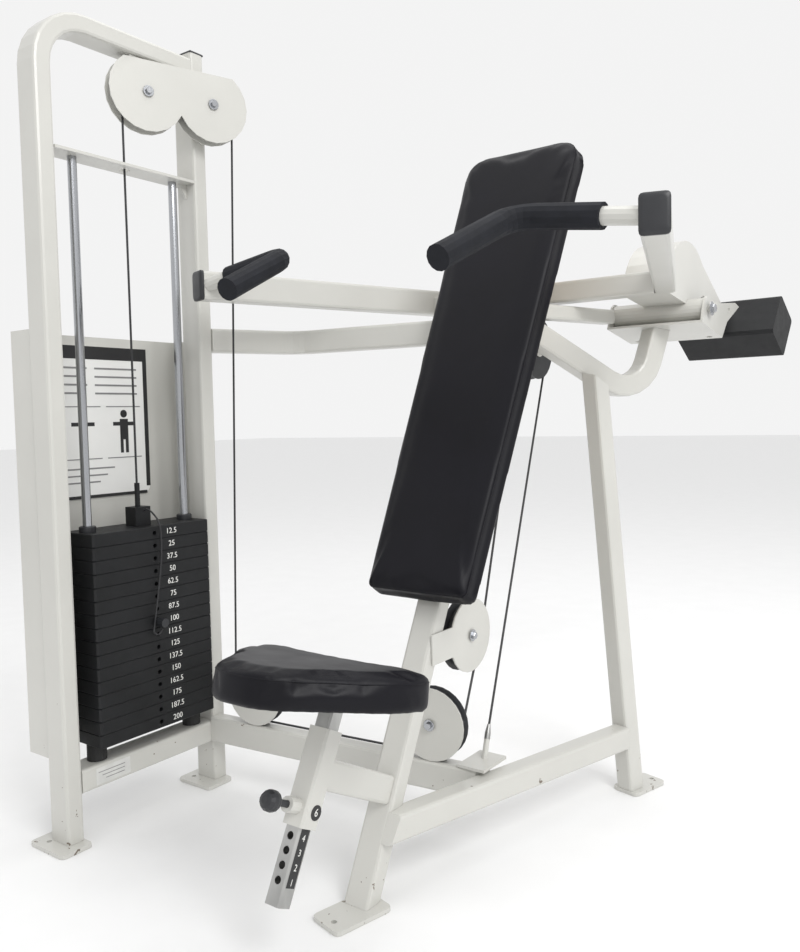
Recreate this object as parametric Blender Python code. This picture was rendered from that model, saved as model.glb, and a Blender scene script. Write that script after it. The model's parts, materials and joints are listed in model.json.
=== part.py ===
"""Selectorised shoulder press machine with a seated press arm, modelled as separate closed pieces.

Metres, +Z up. In the design's own axes x = 0 is the lifter's centre line, the lifter faces -Y,
y = 0 is the front face of the weight tower and z = 0 is the floor. One empty carries the whole
machine, so that the middle of its footprint stands on the world origin.
"""

import math

import bmesh
import bpy
from mathutils import Matrix, Vector

GAP = 0.0003
WORLD_SHIFT = Vector((0.1185, -0.7008, 0.0))

# weight tower
TOWER_X = -0.656
UPRIGHT_WIDE = 0.0635
UPRIGHT_DEEP = 0.038
FRONT_UPRIGHT_Y = 0.019
REAR_UPRIGHT_Y = 0.4137
BEAM_Z = 1.6885
ARCH_RADIUS = 0.1025
REAR_UPRIGHT_TOP = 1.721
FOOT_THICK = 0.008
ROD_RADIUS = 0.0095
ROD_Y = (0.096, 0.355)
ROD_PLATE_Z = 1.423

# weight stack
STACK_Y = 0.2255
PLATE_PITCH = 0.0282
PLATE_COUNT = 16
SELECTED_PLATE = 8
STACK_TOP = 0.6434
PLATE_WIDE = 0.11
PLATE_LONG = 0.31
STEM_RADIUS = 0.011
PIN_RADIUS = 0.0045

# inclined post and pad
TILT = math.radians(26.5)
POST_FRONT_Y = 0.1533
POST_WIDE = 0.055
POST_DEEP = 0.038
POST_TOP = 1.115
PAD_BOTTOM_Z = 0.5365
PAD_LENGTH = 1.058
PAD_THICK = 0.050
BOARD_THICK = 0.0125

# base frame, in plan
BASE_SLOPE = math.radians(6.0)
BASE_START = Vector((-0.6237, 0.4055, 0.1345))
BASE_HEIGHT = 0.061
SPLAY = math.radians(15.6)
SIDE_BEAM_Z = 0.1325

# press arm
PIVOT = Vector((0.0, 1.073, 1.1065))
ARM_SPLAY = math.radians(17.8)
ARM_END = Vector((0.4996, 0.2898, 1.163))
ARM_WIDE = 0.045
ARM_TALL = 0.0613
HUB_RADIUS = 0.026
AXLE_RADIUS = 0.008

# cable and pulleys
CABLE_RADIUS = 0.0025
PULLEY_HALF = 0.011
BIG_TURN = 0.066
SMALL_TURN = 0.0535
DISC_RADIUS = 0.0758
BASE_PULLEY_Z = 0.241
REAR_PULLEY = Vector((0.016, 0.515, 0.422))
LIFT_PULLEY = Vector((-0.012, 0.895, 1.030))
HOUSING_TURN = math.radians(18.0)
HOUSING_START = Vector((-0.6405, 0.2198, 0.0))
HOUSING_BOLTS = (0.0538, 0.2062)
HOUSING_BOLT_Z = 1.5965
CABLE_ANCHOR = Vector((0.060, 0.510, 0.166))

# seat
SEAT_TILT = math.radians(27.6)
SLEEVE_LOW = Vector((0.0, 0.02145, 0.2087))
SLEEVE_LENGTH = 0.158
SEAT_TUBE_LOW = Vector((0.0, -0.0343, 0.102))
SEAT_PITCH = 0.0225
SEAT_NOSE_UP = math.radians(10.6)
SEAT_REAR = Vector((0.0, 0.140, 0.4010))

COLOURS = {
    "white_powder_coat": ((0.68, 0.68, 0.64), 0.35, 0.0),
    "black_iron": ((0.02, 0.02, 0.022), 0.55, 0.0),
    "black_vinyl": ((0.012, 0.012, 0.016), 0.45, 0.0),
    "plywood": ((0.02, 0.02, 0.02), 0.8, 0.0),
    "chrome": ((0.75, 0.76, 0.78), 0.15, 1.0),
    "bare_steel": ((0.42, 0.42, 0.43), 0.35, 1.0),
    "black_rubber": ((0.015, 0.015, 0.015), 0.8, 0.0),
    "foam_grip": ((0.03, 0.035, 0.045), 0.7, 0.0),
    "black_plastic": ((0.02, 0.02, 0.02), 0.4, 0.0),
    "sign_white": ((0.75, 0.75, 0.72), 0.5, 0.0),
    "cable_black": ((0.02, 0.02, 0.02), 0.5, 0.0),
}

X, Y, Z = Vector((1, 0, 0)), Vector((0, 1, 0)), Vector((0, 0, 1))


# ---------------------------------------------------------------- tools

def clear_scene():
    for old in list(bpy.data.objects):
        bpy.data.objects.remove(old, do_unlink=True)


def material(slot):
    if slot in bpy.data.materials:
        return bpy.data.materials[slot]
    colour, roughness, metallic = COLOURS[slot]
    made = bpy.data.materials.new(slot)
    made.use_nodes = True
    shader = made.node_tree.nodes["Principled BSDF"]
    shader.inputs["Base Color"].default_value = (*colour, 1.0)
    shader.inputs["Roughness"].default_value = roughness
    shader.inputs["Metallic"].default_value = metallic
    return made


def loft(name, rings, slot):
    """Closed solid through equal rings of points."""
    mesh = bpy.data.meshes.new(name)
    bm = bmesh.new()
    rows = [[bm.verts.new(point) for point in ring] for ring in rings]
    count = len(rings[0])
    for low, high in zip(rows, rows[1:]):
        for i in range(count):
            j = (i + 1) % count
            bm.faces.new((low[i], low[j], high[j], high[i]))
    bm.faces.new(list(reversed(rows[0])))
    bm.faces.new(rows[-1])
    bmesh.ops.recalc_face_normals(bm, faces=bm.faces)
    bm.to_mesh(mesh)
    bm.free()
    made = bpy.data.objects.new(name, mesh)
    bpy.context.scene.collection.objects.link(made)
    mesh.materials.append(material(slot))
    mesh.shade_smooth()
    mesh.set_sharp_from_angle(angle=math.radians(30))
    return made


def rounded_rectangle(wide, deep, radius=0.006, steps=2):
    """Outline of a rectangle with round corners, as (u, v) pairs."""
    outline = []
    corners = ((1, 1, 0), (-1, 1, 90), (-1, -1, 180), (1, -1, 270))
    for sign_u, sign_v, start in corners:
        for k in range(steps + 1):
            angle = math.radians(start + 90 * k / steps)
            u = sign_u * (wide / 2 - radius) + radius * math.cos(angle)
            v = sign_v * (deep / 2 - radius) + radius * math.sin(angle)
            outline.append((u, v))
    return outline


def circle(radius, sides=16):
    return [(radius * math.cos(math.tau * k / sides), radius * math.sin(math.tau * k / sides))
            for k in range(sides)]


def slide_to_plane(point, direction, plane):
    """Move a point along a direction until it lies on the plane (point, normal)."""
    base, normal = plane
    return point + direction * ((base - point).dot(normal) / direction.dot(normal))


def sweep(name, path, side, outline, slot, start_plane=None, end_plane=None):
    """Solid of constant section along a flat path; side is the direction of the section's u."""
    path = [Vector(p) for p in path]
    directions = [(b - a).normalized() for a, b in zip(path, path[1:])]
    rings = []
    for i, point in enumerate(path):
        along = directions[min(i, len(directions) - 1)]
        before = directions[max(i - 1, 0)]
        plane = (point, (along + before).normalized())
        if i == 0 and start_plane:
            plane = start_plane
        if i == len(path) - 1 and end_plane:
            plane = end_plane
        across = (side - side.dot(before) * before).normalized()
        up = before.cross(across)
        ring = [point + u * across + v * up for u, v in outline]
        rings.append([slide_to_plane(p, before, plane) for p in ring])
    return loft(name, rings, slot)


def rounded_path(corners, radius, steps=5):
    """Polyline through the corners, with an arc of the given radius at each inner one."""
    corners = [Vector(c) for c in corners]
    path = [corners[0]]
    for before, corner, after in zip(corners, corners[1:], corners[2:]):
        to_before = (before - corner).normalized()
        to_after = (after - corner).normalized()
        half = to_before.angle(to_after) / 2
        centre = corner + (to_before + to_after).normalized() * radius / math.sin(half)
        start = corner + to_before * radius / math.tan(half) - centre
        normal = to_after.cross(to_before).normalized()
        turn = math.pi - 2 * half
        for k in range(steps + 1):
            path.append(centre + Matrix.Rotation(turn * k / steps, 3, normal) @ start)
    path.append(corners[-1])
    return path


def prism(name, outline, origin, u, v, depth, slot):
    """Extrude an outline of (u, v) pairs from origin along depth, a vector."""
    ring = [origin + a * u + b * v for a, b in outline]
    return loft(name, [ring, [p + depth for p in ring]], slot)


def cylinder(name, start, end, radius, slot, sides=16):
    axis = end - start
    side = X if abs(axis.normalized().x) < 0.9 else Y
    return sweep(name, [start, end], side, circle(radius, sides), slot)


def box(name, low, high, slot):
    low, high = Vector(low), Vector(high)
    corners = [(0, 0), (high.x - low.x, 0), (high.x - low.x, high.y - low.y), (0, high.y - low.y)]
    return prism(name, corners, low, X, Y, Z * (high.z - low.z), slot)


def combine(target, tool, operation):
    """Join or cut the target by the tool, and remove the tool."""
    change = target.modifiers.new(operation, "BOOLEAN")
    change.operation = operation
    change.solver = "EXACT"
    change.object = tool
    ready = target.evaluated_get(bpy.context.evaluated_depsgraph_get())
    mesh = bpy.data.meshes.new_from_object(ready)
    target.modifiers.clear()
    target.data = mesh
    bpy.data.objects.remove(tool, do_unlink=True)
    return target


def join(target, *tools):
    for tool in tools:
        combine(target, tool, "UNION")
    return target


def cut(target, *tools):
    for tool in tools:
        combine(target, tool, "DIFFERENCE")
    return target


def clear_of(target, *neighbours):
    """Trim the target where a neighbour, grown by the gap, runs into it."""
    for neighbour in neighbours:
        grown = neighbour.copy()
        grown.data = neighbour.data.copy()
        bpy.context.scene.collection.objects.link(grown)
        bm = bmesh.new()
        bm.from_mesh(grown.data)
        moved = [(v, v.normal * GAP * v.calc_shell_factor()) for v in bm.verts]
        for vert, step in moved:
            vert.co += step
        bm.to_mesh(grown.data)
        bm.free()
        cut(target, grown)
    return target


def post_plane(offset):
    """Plane parallel to the inclined post's front face, offset towards the rear."""
    normal = Vector((0, math.cos(TILT), -math.sin(TILT)))
    return Vector((0, POST_FRONT_Y, 0)) + normal * offset, normal


def toward(angle):
    """Level direction that leans from +Y towards +X by the angle."""
    return Vector((math.sin(angle), math.cos(angle), 0))


# ---------------------------------------------------------------- weight tower

def tower_arch():
    path = rounded_path([(TOWER_X, FRONT_UPRIGHT_Y, FOOT_THICK + GAP), (TOWER_X, FRONT_UPRIGHT_Y, BEAM_Z),
                         (TOWER_X, REAR_UPRIGHT_Y - UPRIGHT_DEEP / 2 - GAP, BEAM_Z)], ARCH_RADIUS, 7)
    outline = rounded_rectangle(UPRIGHT_WIDE, UPRIGHT_DEEP)
    return sweep("tower_arch", path, X, outline, "white_powder_coat")


def rear_upright():
    path = [(TOWER_X, REAR_UPRIGHT_Y, FOOT_THICK + GAP), (TOWER_X, REAR_UPRIGHT_Y, REAR_UPRIGHT_TOP)]
    return sweep("rear_upright", path, X, rounded_rectangle(UPRIGHT_WIDE, UPRIGHT_DEEP), "white_powder_coat")


def upright_span():
    """First and last y of the clear space between the two uprights."""
    half = UPRIGHT_DEEP / 2 + GAP
    return FRONT_UPRIGHT_Y + half, REAR_UPRIGHT_Y - half


def tower_crossbar():
    low, high = upright_span()
    path = [(TOWER_X, low, 0.129), (TOWER_X, high, 0.129)]
    return sweep("tower_crossbar", path, X, rounded_rectangle(UPRIGHT_WIDE, 0.050), "white_powder_coat")


def rod_top_plate():
    low, high = upright_span()
    half = UPRIGHT_WIDE / 2
    plate = box("rod_top_plate", (TOWER_X - half, low, ROD_PLATE_Z), (TOWER_X + half, high, ROD_PLATE_Z + 0.006),
                "white_powder_coat")
    gusset = prism("gusset", [(high - 0.024, ROD_PLATE_Z + 0.003), (high, ROD_PLATE_Z + 0.003),
                              (high, ROD_PLATE_Z - 0.032)],
                   Vector((TOWER_X - 0.003, 0, 0)), Y, Z, X * 0.006, "white_powder_coat")
    slot = cylinder("slot", Vector((TOWER_X, STACK_Y, ROD_PLATE_Z - 0.01)),
                    Vector((TOWER_X, STACK_Y, ROD_PLATE_Z + 0.02)), 0.012, "white_powder_coat", 12)
    return cut(join(plate, gusset), slot)


def foot_plate(name, centre, wide, long, turn, hole):
    """Flat foot with one bolt hole, turned in plan."""
    u, v = toward(turn).cross(Z), toward(turn)
    plate = prism(name, rounded_rectangle(wide, long, 0.01), Vector((*centre, 0)), u, v, Z * FOOT_THICK,
                  "white_powder_coat")
    at = Vector((*centre, 0)) + hole[0] * u + hole[1] * v
    drill = cylinder("drill", at - Z * 0.01, at + Z * 0.02, 0.0055, "white_powder_coat", 12)
    return cut(plate, drill)


def guide_rod(name, y):
    bottom = 0.154 + GAP
    return cylinder(name, Vector((TOWER_X, y, bottom)), Vector((TOWER_X, y, ROD_PLATE_Z - GAP)),
                    ROD_RADIUS, "chrome", 16)


def rod_bumper(name, y):
    ring = cylinder(name, Vector((TOWER_X, y, 0.154 + GAP)), Vector((TOWER_X, y, stack_bottom() - GAP)),
                    0.021, "black_rubber", 16)
    bore = cylinder("bore", Vector((TOWER_X, y, 0.14)), Vector((TOWER_X, y, 0.25)), ROD_RADIUS + GAP,
                    "black_rubber", 16)
    return cut(ring, bore)


def stack_shroud():
    """Bent sheet guard behind the stack, on the far side of the tower."""
    sheet = 0.002
    far, near = TOWER_X - 0.102, TOWER_X - UPRIGHT_WIDE / 2 - GAP
    front, rear = 0.004, 0.4287
    outline = [(far, front), (near, front), (near, front + sheet), (far + sheet, front + sheet),
               (far + sheet, rear - sheet), (near, rear - sheet), (near, rear), (far, rear)]
    return prism("stack_shroud", outline, Vector((0, 0, 0.178)), X, Y, Z * 0.888, "white_powder_coat")


def placard():
    far = TOWER_X - 0.102 + 0.002 + GAP
    outline = [(a + 0.215, b + 0.875) for a, b in rounded_rectangle(0.245, 0.34, 0.02, 3)]
    return prism("placard", outline, Vector((far, 0, 0)), Y, Z, X * 0.003, "sign_white")


# ---------------------------------------------------------------- weight stack

def stack_bottom():
    return STACK_TOP - PLATE_COUNT * PLATE_PITCH


def plate_block(name, first, last):
    """Plates first to last, counted from the top, as one solid with a groove at every joint."""
    top = STACK_TOP - (first - 1) * PLATE_PITCH
    bottom = STACK_TOP - last * PLATE_PITCH + GAP
    levels = [(bottom, 0.0015)]
    for number in range(last, first - 1, -1):
        low = STACK_TOP - number * PLATE_PITCH
        levels += [(low + 0.002, 0.0), (low + PLATE_PITCH - 0.0015, 0.0)]
        if number > first:
            levels.append((low + PLATE_PITCH, 0.0015))
    levels.append((top, 0.0015))
    rings = []
    for height, inset in levels:
        outline = rounded_rectangle(PLATE_WIDE - 2 * inset, PLATE_LONG - 2 * inset, 0.004, 1)
        rings.append([Vector((TOWER_X + u, STACK_Y + v, height)) for u, v in outline])
    block = loft(name, rings, "black_iron")
    for y, radius in ((ROD_Y[0], ROD_RADIUS), (ROD_Y[1], ROD_RADIUS), (STACK_Y, STEM_RADIUS)):
        bore = cylinder("bore", Vector((TOWER_X, y, bottom - 0.01)), Vector((TOWER_X, y, top + 0.01)),
                        radius + 2 * GAP, "black_iron", 12)
        cut(block, bore)
    for number in range(first, last + 1):
        start = Vector((TOWER_X, STACK_Y, pin_height(number)))
        cut(block, cylinder("bore", start, start + X * 0.1, PIN_RADIUS + 2 * GAP, "black_iron", 8))
    return block


def pin_height(number):
    return STACK_TOP - (number - 0.5) * PLATE_PITCH


def selector_stem():
    """Stem through the plates, with the head block and the cable's swage on top."""
    stem = cylinder("selector_stem", Vector((TOWER_X, STACK_Y, stack_bottom() + 0.012)),
                    Vector((TOWER_X, STACK_Y, STACK_TOP + 0.02)), STEM_RADIUS, "black_iron", 12)
    pin = Vector((TOWER_X, STACK_Y, pin_height(SELECTED_PLATE)))
    cut(stem, cylinder("bore", pin - X * 0.1, pin + X * 0.1, PIN_RADIUS + 2 * GAP, "black_iron", 8))
    head = box("head", (TOWER_X - 0.018, STACK_Y - 0.02, STACK_TOP + GAP),
               (TOWER_X + 0.018, STACK_Y + 0.02, STACK_TOP + 0.042), "black_iron")
    swage = cylinder("swage", Vector((TOWER_X, STACK_Y, STACK_TOP + 0.03)),
                     Vector((TOWER_X, STACK_Y, stack_cable_foot() - GAP)), 0.006, "black_iron", 10)
    return join(stem, head, swage)


def stack_cable_foot():
    return STACK_TOP + 0.095


def selector_pin():
    start = Vector((TOWER_X - 0.009, STACK_Y, pin_height(SELECTED_PLATE)))
    face = TOWER_X + PLATE_WIDE / 2
    pin = cylinder("selector_pin", start, Vector((face + 0.02, STACK_Y, start.z)), PIN_RADIUS, "chrome", 8)
    knob = cylinder("knob", Vector((face + 0.004, STACK_Y, start.z)), Vector((face + 0.026, STACK_Y, start.z)),
                    0.010, "chrome", 12)
    return join(pin, knob)


def lanyard():
    """Safety cord from the selector head over the top plate and down to the pin's ring."""
    face = TOWER_X + PLATE_WIDE / 2
    ring_z = pin_height(SELECTED_PLATE)
    route = [(TOWER_X + 0.0225, STACK_Y, STACK_TOP + 0.034), (TOWER_X + 0.032, STACK_Y + 0.002, STACK_TOP + 0.036),
             (face - 0.008, STACK_Y + 0.006, STACK_TOP + 0.026), (face + 0.007, STACK_Y + 0.010, STACK_TOP),
             (face + 0.008, STACK_Y + 0.010, STACK_TOP - 0.06), (face + 0.008, STACK_Y + 0.002, STACK_TOP - 0.12),
             (face + 0.009, STACK_Y - 0.016, ring_z - 0.004), (face + 0.010, STACK_Y - 0.019, ring_z - 0.018),
             (face + 0.010, STACK_Y - 0.007, ring_z - 0.026), (face + 0.012, STACK_Y + 0.003, ring_z - 0.015)]
    points = smooth_route([Vector(p) for p in route], 4)
    curve = bpy.data.curves.new("lanyard", "CURVE")
    curve.dimensions = "3D"
    curve.bevel_depth = 0.002
    curve.bevel_resolution = 2
    curve.use_fill_caps = True
    spline = curve.splines.new("POLY")
    spline.points.add(len(points) - 1)
    for slot, point in zip(spline.points, points):
        slot.co = (*point, 1.0)
    curve.materials.append(material("cable_black"))
    made = bpy.data.objects.new("lanyard", curve)
    bpy.context.scene.collection.objects.link(made)
    return made


def smooth_route(route, steps):
    """Catmull-Rom curve through the route's points."""
    ends = [route[0] * 2 - route[1]] + route + [route[-1] * 2 - route[-2]]
    points = []
    for a, b, c, d in zip(ends, ends[1:], ends[2:], ends[3:]):
        for k in range(steps):
            t = k / steps
            points.append(0.5 * (2 * b + (c - a) * t + (2 * a - 5 * b + 4 * c - d) * t * t
                                 + (3 * b - a - 3 * c + d) * t ** 3))
    return points + [route[-1]]


# ---------------------------------------------------------------- base frame and post

def base_direction():
    return Vector((math.cos(BASE_SLOPE), math.sin(BASE_SLOPE), 0))


def side_line(y):
    """Centre of the splayed side beam at the given y."""
    return Vector((0.0085 + (y - 0.1578) * math.tan(SPLAY), y, SIDE_BEAM_Z))


def side_beam_face():
    normal = toward(SPLAY).cross(Z)
    return side_line(0.46) - normal * (0.0225 + GAP), normal


def base_crossbeam():
    end = BASE_START + base_direction() * 0.72
    return sweep("base_crossbeam", [BASE_START, end], base_direction().cross(Z),
                 rounded_rectangle(0.038, BASE_HEIGHT), "white_powder_coat",
                 start_plane=(BASE_START, X), end_plane=side_beam_face())


def back_post():
    axis = Vector((0, math.sin(TILT), math.cos(TILT)))
    base, _ = post_plane(POST_DEEP / 2)
    return sweep("back_post", [base, base + axis * 1.2], X, rounded_rectangle(POST_WIDE, POST_DEEP),
                 "white_powder_coat", start_plane=(Z * (FOOT_THICK + GAP), Z), end_plane=(Z * POST_TOP, Z))


def side_beam(post):
    start = side_line(0.20)
    beam = sweep("side_beam", [start, side_line(0.90)], toward(SPLAY).cross(Z),
                 rounded_rectangle(0.045, 0.049), "white_powder_coat",
                 start_plane=post_plane(GAP), end_plane=leg_front_plane())
    return clear_of(beam, post)


def leg_point(z):
    """Centre of the rear leg at the given height."""
    foot, head = Vector((0.2181, 0.9022, 0)), Vector((0.1521, 0.8862, 0.8775))
    return foot.lerp(head, z / head.z)


def leg_front_plane():
    normal = toward(SPLAY)
    lean = leg_point(0.2) - leg_point(0.0)
    normal = (normal - normal.dot(lean.normalized()) * lean.normalized()).normalized()
    return leg_point(SIDE_BEAM_Z) - normal * (0.0235 + GAP), normal


BENT_TURN = math.radians(31.9)
BENT_TOP = Vector((0.225, 1.08, 0))


def bent_point(along, z):
    """Point in the bent tube's upright plane; along counts from under the pivot bracket."""
    return BENT_TOP + toward(BENT_TURN) * along + Z * z


def bent_side_tube():
    path = rounded_path([bent_point(-0.42, 1.0958), bent_point(-0.0627, 0.8957), bent_point(-0.002, 1.0825)],
                        0.082, 6)
    return sweep("bent_side_tube", path, toward(BENT_TURN).cross(Z), rounded_rectangle(0.048, 0.050),
                 "white_powder_coat", start_plane=post_plane(POST_DEEP + GAP),
                 end_plane=bracket_plane(-GAP))


def rear_leg():
    slope = (bent_point(-0.0627, 0.8957) - bent_point(-0.42, 1.0958)).normalized()
    under = slope.cross(toward(BENT_TURN).cross(Z)).normalized()
    under_point = bent_point(-0.42, 1.0958) - under * (0.025 + GAP) * (1 if under.z > 0 else -1)
    return sweep("rear_leg", [leg_point(0), leg_point(1.0)], toward(SPLAY).cross(Z),
                 rounded_rectangle(0.042, 0.047), "white_powder_coat",
                 start_plane=(Z * (FOOT_THICK + GAP), Z), end_plane=(under_point, under))


def bracket_plane(offset):
    """Plane of the pivot bracket's floor, which falls towards the rear."""
    slope = Vector((0, 0.1565, -0.0265)).normalized()
    normal = X.cross(slope)
    return Vector((0, 1.028, 1.073)) + normal * offset, normal


def pivot_bracket():
    """Two ears on a floor plate, with the fixed axle between them."""
    near, far, thick = 0.345, 0.117, 0.005
    base, normal = bracket_plane(0)
    slope = normal.cross(X)
    if slope.y < 0:
        slope = -slope
    floor = prism("pivot_bracket", [(far, 0), (near, 0), (near, 0.1587), (far, 0.1587)],
                  Vector((0, base.y, base.z)), X, slope, normal * thick, "white_powder_coat")
    for x in (0.143, 0.320):
        at = Vector((x, base.y, base.z)) + slope * 0.14
        cut(floor, cylinder("drill", at - normal * 0.02, at + normal * 0.03, 0.007, "white_powder_coat", 12))
    ear = [(1.028, 1.073), (1.1845, 1.0465), (1.227, 1.088), (1.334, 1.134), (1.2975, 1.141), (1.170, 1.128)]
    crown = [(PIVOT.y + 0.030 * math.cos(math.radians(a)), PIVOT.z + 0.030 * math.sin(math.radians(a)))
             for a in range(45, 166, 30)]
    for x in (near - thick, far):
        join(floor, prism("ear", ear + crown, Vector((x, 0, 0)), Y, Z, X * thick, "white_powder_coat"))
        slot = [(1.244 + a, 1.119 + b) for a, b in rounded_rectangle(0.018, 0.010, 0.0049, 3)]
        cut(floor, prism("slot", slot, Vector((x - 0.01, 0, 0)), Y, Z, X * 0.03, "white_powder_coat"))
    axle = cylinder("axle", PIVOT + X * (far - 0.008), PIVOT + X * (near + 0.008), AXLE_RADIUS,
                    "white_powder_coat", 16)
    return join(floor, axle)


def post_strut(bent):
    path = [(0.018, 0.700, 1.1025), (0.118, 1.0277, 1.1025)]
    strut = sweep("post_strut", path, X, rounded_rectangle(0.036, 0.034), "white_powder_coat",
                  start_plane=post_plane(POST_DEEP + GAP), end_plane=(Y * (1.028 - GAP), Y))
    return clear_of(strut, bent)


def upper_crossbeam(board):
    corners = [(-0.645, 0.430, 1.0638), (-0.549, 0.6475, 1.0638), (-0.02, 0.7172, 1.0638)]
    beam = sweep("upper_crossbeam", rounded_path(corners, 0.09, 5), Vector((0, -1, 0)),
                 rounded_rectangle(0.038, 0.0565), "white_powder_coat",
                 start_plane=(Y * (REAR_UPRIGHT_Y + UPRIGHT_DEEP / 2 + GAP), Y),
                 end_plane=(X * -(POST_WIDE / 2 + GAP), X))
    return clear_of(beam, board)


def cable_anchor():
    low = 0.165 + GAP
    plate = box("cable_anchor", (0.030, 0.455, low), (0.092, 0.545, low + 0.006), "white_powder_coat")
    lean = (Vector((0.056, 0.536, 0.225)) - CABLE_ANCHOR).normalized()
    stud = cylinder("stud", CABLE_ANCHOR, CABLE_ANCHOR + lean * 0.055, 0.006, "white_powder_coat", 10)
    return join(plate, stud)


# ---------------------------------------------------------------- back pad

def pad_outline(inset):
    """Pad seen from the front as (x, up) pairs, narrower at the bottom."""
    low, high = 0.1175 - inset, 0.1453 - inset
    corners = [(-low, inset, 0.016), (low, inset, 0.016), (high, PAD_LENGTH - inset, 0.062),
               (-high, PAD_LENGTH - inset, 0.062)]
    points = []
    for index, (u, v, radius) in enumerate(corners):
        before = Vector(corners[index - 1][:2])
        after = Vector(corners[(index + 1) % 4][:2])
        corner = Vector((u, v))
        to_before, to_after = (before - corner).normalized(), (after - corner).normalized()
        for k in range(5):
            t = k / 4
            start, end = corner + to_before * radius, corner + to_after * radius
            points.append(tuple((1 - t) ** 2 * start + 2 * t * (1 - t) * corner + t * t * end))
    return points


def pad_layer(name, inset, near, thick, slot):
    """Board or cushion whose rear face lies the given distance in front of the post."""
    plane, normal = post_plane(-near)
    up = Vector((0, math.sin(TILT), math.cos(TILT)))
    face, _ = post_plane(-near - thick)
    lift = (PAD_BOTTOM_Z - face.z) / up.z
    return prism(name, pad_outline(inset), plane + up * lift, X, up, -normal * thick, slot)


def back_pad_board():
    return pad_layer("back_pad_board", 0.012, GAP, BOARD_THICK, "plywood")


def back_pad():
    return pad_layer("back_pad", 0.0, BOARD_THICK + 2 * GAP, PAD_THICK, "black_vinyl")


# ---------------------------------------------------------------- pulleys, guards and cables

def pulley(name, centre, axis, turn):
    """Grooved wheel; turn is the radius at which the cable's centre line runs."""
    bottom, rim = turn - CABLE_RADIUS - GAP, turn + 0.0085
    profile = [(-PULLEY_HALF, rim), (-0.0085, rim), (-0.0032, bottom), (0.0032, bottom), (0.0085, rim),
               (PULLEY_HALF, rim)]
    side = X if abs(axis.x) < 0.9 else Y
    side = (side - side.dot(axis) * axis).normalized()
    up = axis.cross(side)
    rings = [[centre + axis * a + u * side + v * up for u, v in circle(r, 28)] for a, r in profile]
    wheel = loft(name, rings, "black_plastic")
    bore = cylinder("bore", centre - axis * 0.03, centre + axis * 0.03, 0.0063, "black_plastic", 12)
    return cut(wheel, bore)


def base_pulley_centre(x):
    """Point of the pulleys' plane, over the middle of the base crossbeam, at the given x."""
    along = (x - BASE_START.x) / base_direction().x
    return Vector((x, (BASE_START + base_direction() * along).y, BASE_PULLEY_Z))


def disc(name, centre, axis, radius, low, high):
    return cylinder(name, centre + axis * low, centre + axis * high, radius, "white_powder_coat", 28)


def beam_pulley_guard(name, centre):
    """Front disc, axle and rear strap that stand on the base crossbeam."""
    rearward = -base_direction().cross(Z)
    guard = disc(name, centre, rearward, DISC_RADIUS, -0.0165, -0.0135)
    axle = cylinder("axle", centre - rearward * 0.020, centre + rearward * 0.018, 0.006, "white_powder_coat", 12)
    foot = 0.165 + GAP
    strap = prism("strap", [(-0.02, foot), (0.02, foot), (0.02, centre.z + 0.02), (-0.02, centre.z + 0.02)],
                  Vector((centre.x, centre.y, 0)) + rearward * 0.0135, base_direction(), Z, rearward * 0.003,
                  "white_powder_coat")
    return join(guard, axle, strap)


def rear_pulley_guard(post):
    """Disc, axle and strap that hold the rear pulley behind the post."""
    c = REAR_PULLEY
    guard = disc("rear_pulley_guard", c, X, DISC_RADIUS, 0.0125, 0.0155)
    axle = cylinder("axle", c - X * 0.018, c + X * 0.019, 0.006, "white_powder_coat", 12)
    strap = box("strap", (c.x - 0.0155, 0.38, c.z - 0.02), (c.x - 0.0125, c.y + 0.015, c.z + 0.02),
                "white_powder_coat")
    ear = box("ear", (c.x + 0.0125, 0.372, c.z - 0.03), (c.x + 0.0155, c.y - 0.03, c.z + 0.03),
              "white_powder_coat")
    return clear_of(join(guard, axle, strap, ear), post)


def lift_pulley_fork():
    """Side plates that hang the lift pulley under the cross tube."""
    c = LIFT_PULLEY
    top = 1.130 - GAP
    cheek = [(c.y + 0.022, top), (c.y - 0.022, top)]
    cheek += [(c.y + 0.022 * math.cos(math.radians(a)), c.z + 0.022 * math.sin(math.radians(a)))
              for a in range(180, 361, 30)]
    fork = prism("lift_pulley_fork", cheek, Vector((c.x + 0.0125, 0, 0)), Y, Z, X * 0.003, "white_powder_coat")
    join(fork, prism("cheek", cheek, Vector((c.x - 0.0155, 0, 0)), Y, Z, X * 0.003, "white_powder_coat"))
    join(fork, box("bridge", (c.x - 0.0155, c.y - 0.022, top - 0.006), (c.x + 0.0155, c.y + 0.022, top),
                   "white_powder_coat"))
    return join(fork, cylinder("axle", c - X * 0.018, c + X * 0.018, 0.006, "white_powder_coat", 12))


def housing_centre(index):
    inward = housing_normal() * -0.0163
    return HOUSING_START + toward(HOUSING_TURN) * HOUSING_BOLTS[index] + Z * HOUSING_BOLT_Z + inward


def housing_normal():
    return toward(HOUSING_TURN).cross(Z)


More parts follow.
